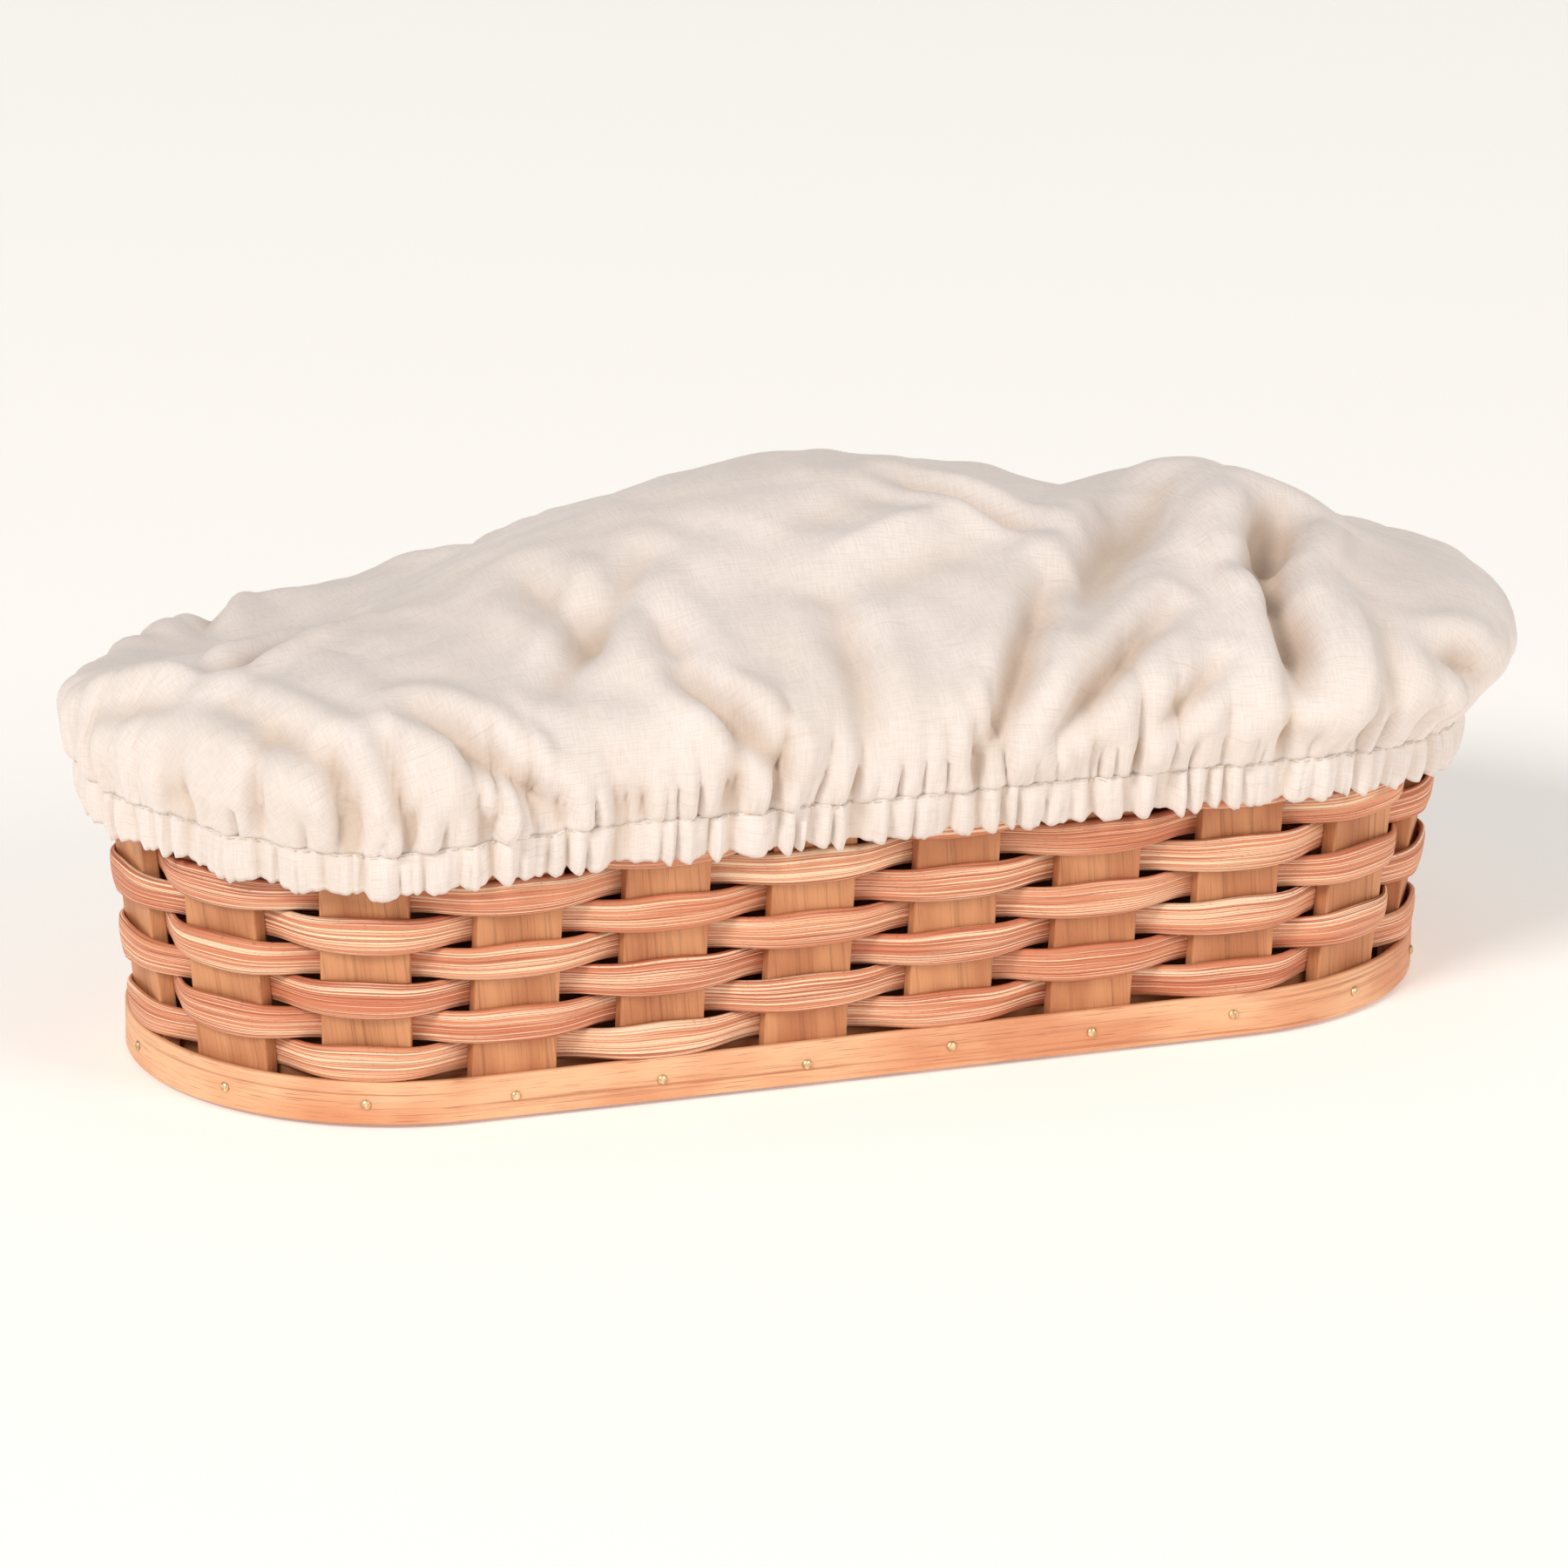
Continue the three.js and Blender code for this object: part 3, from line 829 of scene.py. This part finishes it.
def dome_place(flat):
    """The place on the dome of a point of the flat cloth."""
    spine_x = max(-HALF_STRAIGHT, min(HALF_STRAIGHT, flat.x))
    offset = flat - Vector((spine_x, 0, 0))
    distance = offset.length
    direction = offset.normalized() if distance > 1e-6 else Vector((0, -1, 0))
    points = dome_section(spine_x, direction)
    lengths = [(b - a).length for a, b in zip(points, points[1:])]
    left = distance / CLOTH_RADIUS * sum(lengths)
    for a, b, length in zip(points, points[1:], lengths):
        if left <= length:
            return a.lerp(b, left / length)
        left -= length
    return points[-1].copy()


# %% [markdown]
# ## The cover: its main folds
#
# Soft folds run over the cover, most of them from the hem towards the crown, where the
# slack cloth was pushed together. Each is a line on the flat cloth with a width and a
# depth. Across the line the cloth dips and rises again beside the dip, as a real fold does.

# %% Main folds
FOLDS = [  # start x, y, end x, y, width, depth, all in mm on the flat cloth
    (-122, -75, -89, -121, 8, 5.5),
    (-50, -80, -28, -115, 7, 5),
    (-78, -24, -67, -63, 10, 3),
    (-83, -77, -47, -29, 9, 3.5),
    (-52, -50, -46, -85, 9, 2.5),
    (56, -52, 24, -118, 8, 5.5),
    (106, 4, 58, -69, 13, 5),
    (86, -66, 44, -110, 7, 5.5),
    (92, -90, 72, -110, 6, 4),
    (133, -16, 117, -54, 11, 9),
    (118, -52, 113, -98, 9, 8),
    (135, -62, 131, -112, 9, -4),
    (160, -79, 185, -72, 9, 5),
    (-3, -42, 40, -24, 12, -3),
    (30, -4, 62, -30, 8, 4),
    (-3, -58, -6, -110, 9, 3),
    (-119, 2, -174, -29, 9, 4),
    (-150, -82, -157, -113, 6, 4),
    (-134, -84, -137, -121, 6, 4.5),
    (-112, -96, -108, -124, 6, 4),
    (-166, -68, -187, -93, 6, 3.5),
    (-207, 4, -171, -34, 10, -3.5),
    (-172, -50, -150, -92, 10, 3.5),
    (-150, 78, -130, 116, 9, 3),
    (-60, 50, -75, 118, 9, 4.5),
    (10, 40, -8, 116, 11, 4),
    (62, 45, 80, 118, 9, 5),
    (135, 30, 150, 100, 10, 5),
    (190, 20, 150, 25, 9, 3),
]


def fold_dip(flat):
    """How far the main folds raise the cloth, or lower it, at a point of the flat cloth."""
    x, y = flat.x / MM, flat.y / MM
    total = 0.0
    for start_x, start_y, end_x, end_y, width, depth in FOLDS:
        run_x, run_y = end_x - start_x, end_y - start_y
        reach = ((x - start_x) * run_x + (y - start_y) * run_y) / (run_x**2 + run_y**2)
        part = max(0.0, min(1.0, reach))
        away = math.hypot(x - start_x - part * run_x, y - start_y - part * run_y) / width
        if away < 3.5:
            taper = math.sin(math.pi * (0.12 + 0.76 * part))
            crease = math.exp(-((away / 0.5) ** 1.15))
            shoulder = 0.5 * math.exp(-(((away - 1.15) / 0.55) ** 2))
            total -= depth * taper * (crease - shoulder)
    return total * MM


# %% Drape the cloth
cloth_shape = flat_cloth()
flat_places = [vert.co.copy() for vert in cloth_shape.verts]
hem_verts = [vert.index for vert in cloth_shape.verts if vert.is_boundary]
for vert, flat in zip(cloth_shape.verts, flat_places):
    vert.co = dome_place(flat)
cloth_shape.normal_update()
bmesh.ops.recalc_face_normals(cloth_shape, faces=cloth_shape.faces)
cloth_shape.normal_update()
for vert, flat in zip(cloth_shape.verts, flat_places):
    if not vert.is_boundary:
        ripple = noise.noise(flat * 70) * 1.2 * MM
        vert.co += vert.normal * (0.8 * fold_dip(flat) + ripple)
cloth_mesh = bpy.data.meshes.new("cover_cloth")
cloth_shape.to_mesh(cloth_mesh)
cloth_shape.free()
cloth = bpy.data.objects.new("cover_cloth", cloth_mesh)
bpy.context.collection.objects.link(cloth)
print("cloth points", len(flat_places), "on the hem", len(hem_verts))


def simulate(piece, frames):
    """Lets the cloth buckle to its cut lengths, held softly to the dome, and applies it."""
    piece.shape_key_add(name="dome")
    cut = piece.shape_key_add(name="cut")
    for point, flat in zip(cut.data, flat_places):
        point.co = flat
    hold = piece.vertex_groups.new(name="hold")
    hold.add(range(len(flat_places)), HOLD, "REPLACE")
    hold.add(hem_verts, 1.0, "REPLACE")
    modifier = piece.modifiers.new("cloth", "CLOTH")
    settings = modifier.settings
    settings.rest_shape_key = cut
    settings.vertex_group_mass = "hold"
    settings.pin_stiffness = 1
    settings.quality = 6
    settings.mass = 0.01
    settings.effector_weights.gravity = 0.02
    settings.air_damping = 2
    settings.tension_stiffness = 12
    settings.compression_stiffness = 12
    settings.shear_stiffness = 4
    settings.bending_stiffness = 0.8
    modifier.collision_settings.use_collision = False
    modifier.collision_settings.use_self_collision = False
    scene = bpy.context.scene
    scene.frame_start, scene.frame_end = 1, frames
    modifier.point_cache.frame_end = frames
    for number in range(1, frames + 1):
        scene.frame_set(number)
    depsgraph = bpy.context.evaluated_depsgraph_get()
    settled = [vert.co.copy() for vert in piece.evaluated_get(depsgraph).data.vertices]
    piece.modifiers.clear()
    piece.shape_key_clear()
    moved = [(vert.co - place).length for vert, place in zip(piece.data.vertices, settled)]
    print("the cloth moved in mm, most", round(max(moved) / MM, 1), "mean", sum(moved) / len(moved) / MM)
    for vert, place in zip(piece.data.vertices, settled):
        vert.co = place
    scene.frame_set(1)


HOLD = 0.02
FRAMES = 24
simulate(cloth, FRAMES)
print("the cloth has settled in", FRAMES, "frames")

# %% [markdown]
# ## The muslin's finish
#
# Unbleached muslin is a plain weave of cotton, cream with slightly darker slubs. The
# threads follow the Cut map, so they bend with every fold. Deep in a fold the colour is
# painted darker and warmer. This is painted shade, standing in for the shadow and the warm
# light that bounces from cloth to cloth there. Each point carries a number that says how
# deep it lies in a fold, and the painted shade grows with it.

# %% Muslin finish


def muslin_finish(name, uv_map):
    material, shader, start = new_finish(name, Roughness=0.9, Sheen_Weight=0.25)
    shader.inputs["Specular IOR Level"].default_value = 0.2
    cut = start.node("UVMap", {"uv_map": uv_map}, {})
    warp = cut.stretch((2600, 160, 1)).speckle(detail=1)
    weft = cut.stretch((160, 2600, 1), (4, 2, 0)).speckle(detail=1)
    slubs = cut.stretch((60, 900, 1), (1, 7, 0)).speckle(detail=2)
    drift = cut.speckle(scale=14, detail=2)
    weave = warp * 0.5 + weft * 0.5
    body = drift.smooth(0.3, 0.7).mix(rgb(230, 218, 210), rgb(238, 227, 221))
    threads = (weave.smooth(0.42, 0.62) * 0.35).mix(body, rgb(212, 196, 181))
    slubbed = (slubs.smooth(0.6, 0.72) * 0.3).mix(threads, rgb(208, 192, 170))
    # Painted shade: deep in folds and pleats the colour is darkened and warmed, standing in for the
    # shadow and warm bounced light there.
    crease = start.node("Attribute", {"attribute_name": "Crease"}, {}, output=2)
    colour = (crease * 0.5).mix(slubbed, rgb(196, 166, 134))
    connect(shader, Base_Color=colour, Normal=weave.bump(0.4, 0.15 * MM))
    return material


MUSLIN = muslin_finish("muslin", "Cut")

# %% [markdown]
# ## The cover: gathers at the hem
#
# Where the elastic draws the edge in, the cloth stands in small folds that run into the
# stitch line and fade out above it. They are too fine for the simulation's mesh, so the
# settled cloth is subdivided once and the gathers are raised on it: large puckers that
# reach a few centimetres up, and fine ones that fade within one. Each has a narrow crease
# and a round back, and its place and height wander.

# %% Gathers


def gathers(along, period, seed):
    """Folds with narrow creases and round backs, from -1 to 1, that wander round the hem."""
    turn = 2 * math.pi * along / OUTLINE_LENGTH
    ring = Vector((math.cos(turn), math.sin(turn), 0))
    folds = round(OUTLINE_LENGTH / period)
    sway = 1.3 * noise.noise(ring * folds * 0.05 + Vector((seed, 0, 0)))
    sway += 0.5 * noise.noise(ring * folds * 0.16 + Vector((0, seed, 0)))
    height = 0.75 + 0.85 * noise.noise(ring * folds * 0.11 + Vector((0, 0, seed)))
    wave = abs(math.sin(math.pi * (folds * along / OUTLINE_LENGTH + sway)))
    return (2 * wave**0.7 - 1.3) * max(0.4, height)


def seam_wave(along):
    """How far the stitch line itself goes in and out with the larger gathers."""
    large = 0.7 * gathers(along, 14 * MM, 3) + 0.5 * gathers(along, 8.3 * MM, 21)
    return (large + 0.5 * gathers(along, 7.2 * MM, 12)) * MM


def seam_height(along):
    """The stitch line's height with the small ups and downs that the gathers give it."""
    return hem_height(along) + 0.45 * MM * gathers(along + 2 * MM, 8.3 * MM, 21)


def flat_border(flat):
    """Where a flat point lies round the cloth, and how far in from its edge."""
    spine = Vector((max(-HALF_STRAIGHT, min(HALF_STRAIGHT, flat.x)), 0, 0))
    offset = flat - spine
    if offset.length < 1e-6:
        return 0.0, CLOTH_RADIUS
    along = wall_place(spine + offset.normalized() * END_RADIUS)[0]
    return along, CLOTH_RADIUS - offset.length


def gather_rise(flat):
    along, inset = flat_border(flat)
    slant = 0.25 * inset * noise.noise(Vector((along * 18, 2, 5)))
    reach = (22 + 18 * noise.noise(Vector((along * 30, 7, 1)))) * MM
    large = gathers(along + slant, 14 * MM, 3) * math.exp(-((inset / reach) ** 2))
    fine = gathers(along + slant * 0.5, 5.4 * MM, 8) * math.exp(-((inset / (8 * MM)) ** 2))
    middle_reach = (13 + 12 * noise.noise(Vector((along * 45, 3, 4)))) * MM
    middle = gathers(along + slant, 8.3 * MM, 21) * math.exp(-((inset / middle_reach) ** 2))
    start = 1 - math.exp(-inset / (2.5 * MM))
    sunk = 0.6 * math.exp(-inset / (6 * MM))
    raised = (0.2 - sunk + 2.8 * large + 2.6 * middle + 1.3 * fine) * MM * start
    return raised + seam_wave(along) * math.exp(-inset / (9 * MM))


def subdivided(piece):
    """The piece's mesh, subdivided once."""
    modifier = piece.modifiers.new("smoother", "SUBSURF")
    modifier.levels = modifier.render_levels = 1
    depsgraph = bpy.context.evaluated_depsgraph_get()
    mesh = bpy.data.meshes.new_from_object(piece.evaluated_get(depsgraph))
    piece.modifiers.clear()
    return mesh


def refine_hem(mesh):
    """Cuts the cells beside the stitch line in two along it, for the fine gathers."""
    shape = bmesh.new()
    shape.from_mesh(mesh)
    layer = shape.loops.layers.uv["Cut"]
    insets = {}
    for face in shape.faces:
        for loop in face.loops:
            insets[loop.vert] = flat_border(Vector((*loop[layer].uv, 0)))[1]
    edges = []
    for edge in shape.edges:
        first, second = (insets[vert] for vert in edge.verts)
        if max(first, second) < HEM_ZONE and abs(first - second) < 0.3 * MM:
            edges.append(edge)
    bmesh.ops.subdivide_edges(shape, edges=edges, cuts=1, use_grid_fill=True)
    shape.to_mesh(mesh)
    shape.free()


def mark_fold_shade(mesh, depths):
    """Writes the painted fold shade of every point, from 0 on a ridge to 1 deep in a fold."""
    attribute = mesh.attributes.new("Crease", "FLOAT", "POINT")
    attribute.data.foreach_set("value", [min(1.0, depth) for depth in depths])


HEM_ZONE = 12 * MM
cloth.data = subdivided(cloth)
refine_hem(cloth.data)
cut_places = {}
for loop, cut in zip(cloth.data.loops, cloth.data.uv_layers["Cut"].data):
    cut_places[loop.vertex_index] = Vector((*cut.uv, 0))
raised = []
fold_shade_depths = []
for vert in cloth.data.vertices:
    flat = cut_places[vert.index]
    gathered, folded = gather_rise(flat), fold_dip(flat)
    # How deep the point lies in a gather or fold, which sets the painted shade in the muslin's colour.
    fold_shade_depths.append(max(0.0, -gathered / (3 * MM)) + max(0.0, -folded / (4 * MM)))
    place = vert.co + vert.normal * (gathered + 0.7 * folded)
    along, outward, height = wall_place(place)
    border_along, inset = flat_border(flat)
    if inset < 0.1 * MM:
        place = wall_point(border_along, HEM_OUTWARD + seam_wave(border_along), seam_height(border_along))
    elif height < RIM_HIGH.z + 2 * MM:
        place = wall_point(along, max(outward, HEM_OUTWARD - 1 * MM), height)
    raised.append(place)
for vert, place in zip(cloth.data.vertices, raised):
    vert.co = place
mark_fold_shade(cloth.data, fold_shade_depths)
CLOTH_THICKNESS = 0.4 * MM
wall = cloth.modifiers.new("thickness", "SOLIDIFY")
wall.thickness = CLOTH_THICKNESS
wall.offset = 1
print("cloth faces", len(cloth.data.polygons))

# %% [markdown]
# ## The cover: casing, stitches and elastic
#
# The edge of the cloth is folded under and stitched down, which makes a flat tube, and the
# elastic runs inside it. The tube is the most crowded place of all: a metre and a quarter
# of cloth on less than a metre of elastic. It is a hoop whose outer wall is pushed into
# fine gathers, deepest along its free lower edge, so that edge looks scalloped.

# %% Casing
CASING_HEIGHT = 11.5 * MM
CASING_WALL_IN = 8.9 * MM
CASING_SECTION = 11
SEAM_OVERLAP = 0.4 * MM
TUCK_IN = 2.2 * MM


def casing_inside(part):
    """How far out the casing's inner wall stands: it leans with the basket's wall."""
    return CASING_WALL_IN - 1.3 * MM * part


def casing_pleats(along, part):
    """The casing's small folds, which lean a little towards its lower edge."""
    leaning = along + part * 2.5 * MM * noise.noise(Vector((along * 60, 1, 8)))
    pleats = 1.8 * gathers(leaning, 7.2 * MM, 12) + 0.4 * gathers(leaning, 3.6 * MM, 30)
    return pleats + 0.9 * gathers(leaning, 14 * MM, 3)


def casing_point(along, part, lift=0.0):
    """A point on the casing's outer wall: part is 0 at the stitches and 1 at the low edge."""
    pleats = casing_pleats(along, part)
    swell = 0.3 + 0.7 * math.sin(math.pi * max(0.0, min(1.0, part * 0.86)))
    outward = HEM_OUTWARD + CLOTH_THICKNESS + seam_wave(along) * (1 - 0.5 * part)
    outward += swell * (0.9 + (0.8 + 0.6 * part) * pleats) * MM - TUCK_IN * part
    outward = max(outward, casing_inside(part) + 0.9 * MM)
    drop = CASING_HEIGHT + 0.7 * MM * part * pleats
    height = seam_height(along) + SEAM_OVERLAP - part * drop
    return wall_point(along, outward + lift, height)


section = []
for i in range(CASING_SECTION):
    section.append((HEM_OUTWARD, HEM_HEIGHT - CASING_HEIGHT * i / (CASING_SECTION - 1)))
for i in range(4):
    section.append((CASING_WALL_IN, HEM_HEIGHT - CASING_HEIGHT * (0.97 - 0.3 * i)))
casing = hoop(section, 440, 250)
cut_map = casing.loops.layers.uv.new("Cut")
for face in casing.faces:
    places = [wall_place(loop.vert.co) for loop in face.loops]
    crosses_seam = max(p[0] for p in places) - min(p[0] for p in places) > OUTLINE_LENGTH / 2
    for loop, (along, outward, height) in zip(face.loops, places):
        if crosses_seam and along < OUTLINE_LENGTH / 2:
            along += OUTLINE_LENGTH
        loop[cut_map].uv = (along * 1.35, height + outward)
casing_fold_shade = []
for vert in casing.verts:
    along, outward, height = wall_place(vert.co)
    part = (HEM_HEIGHT - height) / CASING_HEIGHT
    # How deep the point lies in a pleat, which sets the painted shade in the muslin's colour.
    casing_fold_shade.append(max(0.0, -casing_pleats(along, part) / 2.5))
    if outward > (HEM_OUTWARD + CASING_WALL_IN) / 2:
        vert.co = casing_point(along, part)
    else:
        outer = casing_point(along, part)
        vert.co = wall_point(along, casing_inside(part), outer.z + 0.3 * MM * (part - 0.3))
casing_piece = finish_piece("cover_casing", casing, MUSLIN, "cover")
mark_fold_shade(casing_piece.data, casing_fold_shade)

# %% Stitches and elastic
STITCH_PITCH = 2.9 * MM
STITCH_LENGTH = 2.0 * MM
THREAD_RADIUS = 0.17 * MM


def thread_finish(name, colour):
    material, shader, start = new_finish(name, Roughness=0.7)
    place = start.node("TexCoord", {}, {}, output=3)
    fuzz = place.speckle(scale=2500, detail=2)
    shade = fuzz.smooth(0.3, 0.7).mix(colour, rgb(205, 186, 158))
    connect(shader, Base_Color=shade, Normal=fuzz.bump(0.3, 0.1 * MM))
    return material


THREAD = thread_finish("cotton_thread", rgb(232, 216, 192))
ELASTIC = thread_finish("woven_elastic", rgb(240, 238, 232))
stitches = bmesh.new()
stitch_count = round(OUTLINE_LENGTH / STITCH_PITCH)
for i in range(stitch_count):
    along = OUTLINE_LENGTH * i / stitch_count
    ends = [
        casing_point(along + side * STITCH_LENGTH / 2, 0.05, 0.12 * MM) for side in (-1, 1)
    ]
    run = ends[1] - ends[0]
    size = Matrix.Diagonal((run.length / 2, THREAD_RADIUS, THREAD_RADIUS, 1))
    turn = run.to_track_quat("X", "Z").to_matrix().to_4x4()
    middle = Matrix.Translation((ends[0] + ends[1]) / 2)
    bmesh.ops.create_icosphere(stitches, subdivisions=1, radius=1, matrix=middle @ turn @ size)
stitch_piece = finish_piece("casing_stitches", stitches, THREAD, "cover")

elastic_section = strip_section(0.15 * MM, 0.5 * MM, 70.4 * MM, 76.4 * MM, 0.15 * MM)
elastic = hoop(elastic_section, 64, 40)
for vert in elastic.verts:
    along, outward, height = wall_place(vert.co)
    part = (HEM_HEIGHT - height) / CASING_HEIGHT
    lowered = height + hem_height(along) - HEM_HEIGHT
    vert.co = wall_point(along, outward + casing_inside(part), lowered)
run_map(elastic)
elastic_piece = finish_piece(
    "casing_elastic", elastic, ELASTIC, "cover", replaces=["hem_elastic"]
)
print("stitches", stitch_count)

# %% The cover cloth: its finish and its body
cloth.data.materials.append(MUSLIN)
cloth.data.polygons.foreach_set("use_smooth", [True] * len(cloth.data.polygons))
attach(cloth, "cover")
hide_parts("muslin_cover")

# %% [markdown]
# ## Floor and light
#
# A plain pale floor under an even warm-white sky, with a large soft key light from the upper
# left and a weaker fill from the right. A low round backdrop of pale paper stands far off, so
# that views from near the floor end in paper and not in the sky's grey.

# %% Floor
bpy.ops.mesh.primitive_plane_add(size=14, location=(0, 0, 0))
floor = bpy.context.object
floor.name = "studio_floor"
floor_finish, floor_shader, floor_start = new_finish("studio_paper", Roughness=0.95)
floor_shader.inputs["Base Color"].default_value = rgb(246, 243, 237)
floor_shader.inputs["Specular IOR Level"].default_value = 0.1
floor_shader.inputs["Emission Color"].default_value = rgb(253, 251, 250)
floor_shader.inputs["Emission Strength"].default_value = 0.27
floor.data.materials.append(floor_finish)

# %% Backdrop
BACKDROP_RADIUS = 6.95
BACKDROP_HEIGHT = 1.2
backdrop_shape = bmesh.new()
bmesh.ops.create_cone(
    backdrop_shape,
    segments=96,
    radius1=BACKDROP_RADIUS,
    radius2=BACKDROP_RADIUS,
    depth=BACKDROP_HEIGHT,
    matrix=Matrix.Translation((0, 0, BACKDROP_HEIGHT / 2)),
)
backdrop_mesh = bpy.data.meshes.new("studio_backdrop")
backdrop_shape.to_mesh(backdrop_mesh)
backdrop_shape.free()
backdrop_finish, backdrop_shader, _ = new_finish("backdrop_paper", Roughness=1.0)
backdrop_shader.inputs["Base Color"].default_value = rgb(240, 237, 231)
backdrop_shader.inputs["Emission Color"].default_value = rgb(255, 252, 246)
backdrop_shader.inputs["Emission Strength"].default_value = 0.55
backdrop_mesh.materials.append(backdrop_finish)
backdrop = bpy.data.objects.new("studio_backdrop", backdrop_mesh)
bpy.context.collection.objects.link(backdrop)

# %% Light
scene = bpy.context.scene
scene.view_settings.view_transform = "Standard"
world = bpy.data.worlds.new("studio_sky")
scene.world = world
world.use_nodes = True
world.node_tree.nodes["Background"].inputs["Color"].default_value = (1.0, 0.985, 0.97, 1)
world.node_tree.nodes["Background"].inputs["Strength"].default_value = 0.36


def soft_light(name, place, size, power, colour):
    light = bpy.data.lights.new(name, "AREA")
    light.shape = "DISK"
    light.size = size
    light.energy = power
    light.color = colour
    lamp = bpy.data.objects.new(name, light)
    bpy.context.collection.objects.link(lamp)
    lamp.location = place
    lamp.rotation_euler = Vector(place).to_track_quat("Z", "Y").to_euler()


soft_light("key", (-4.9, -3.5, 4.8), 2.4, 308, (1.0, 0.985, 0.97))
soft_light("fill", (3.2, -4.4, 3.0), 2.6, 92, (1.0, 0.985, 0.97))
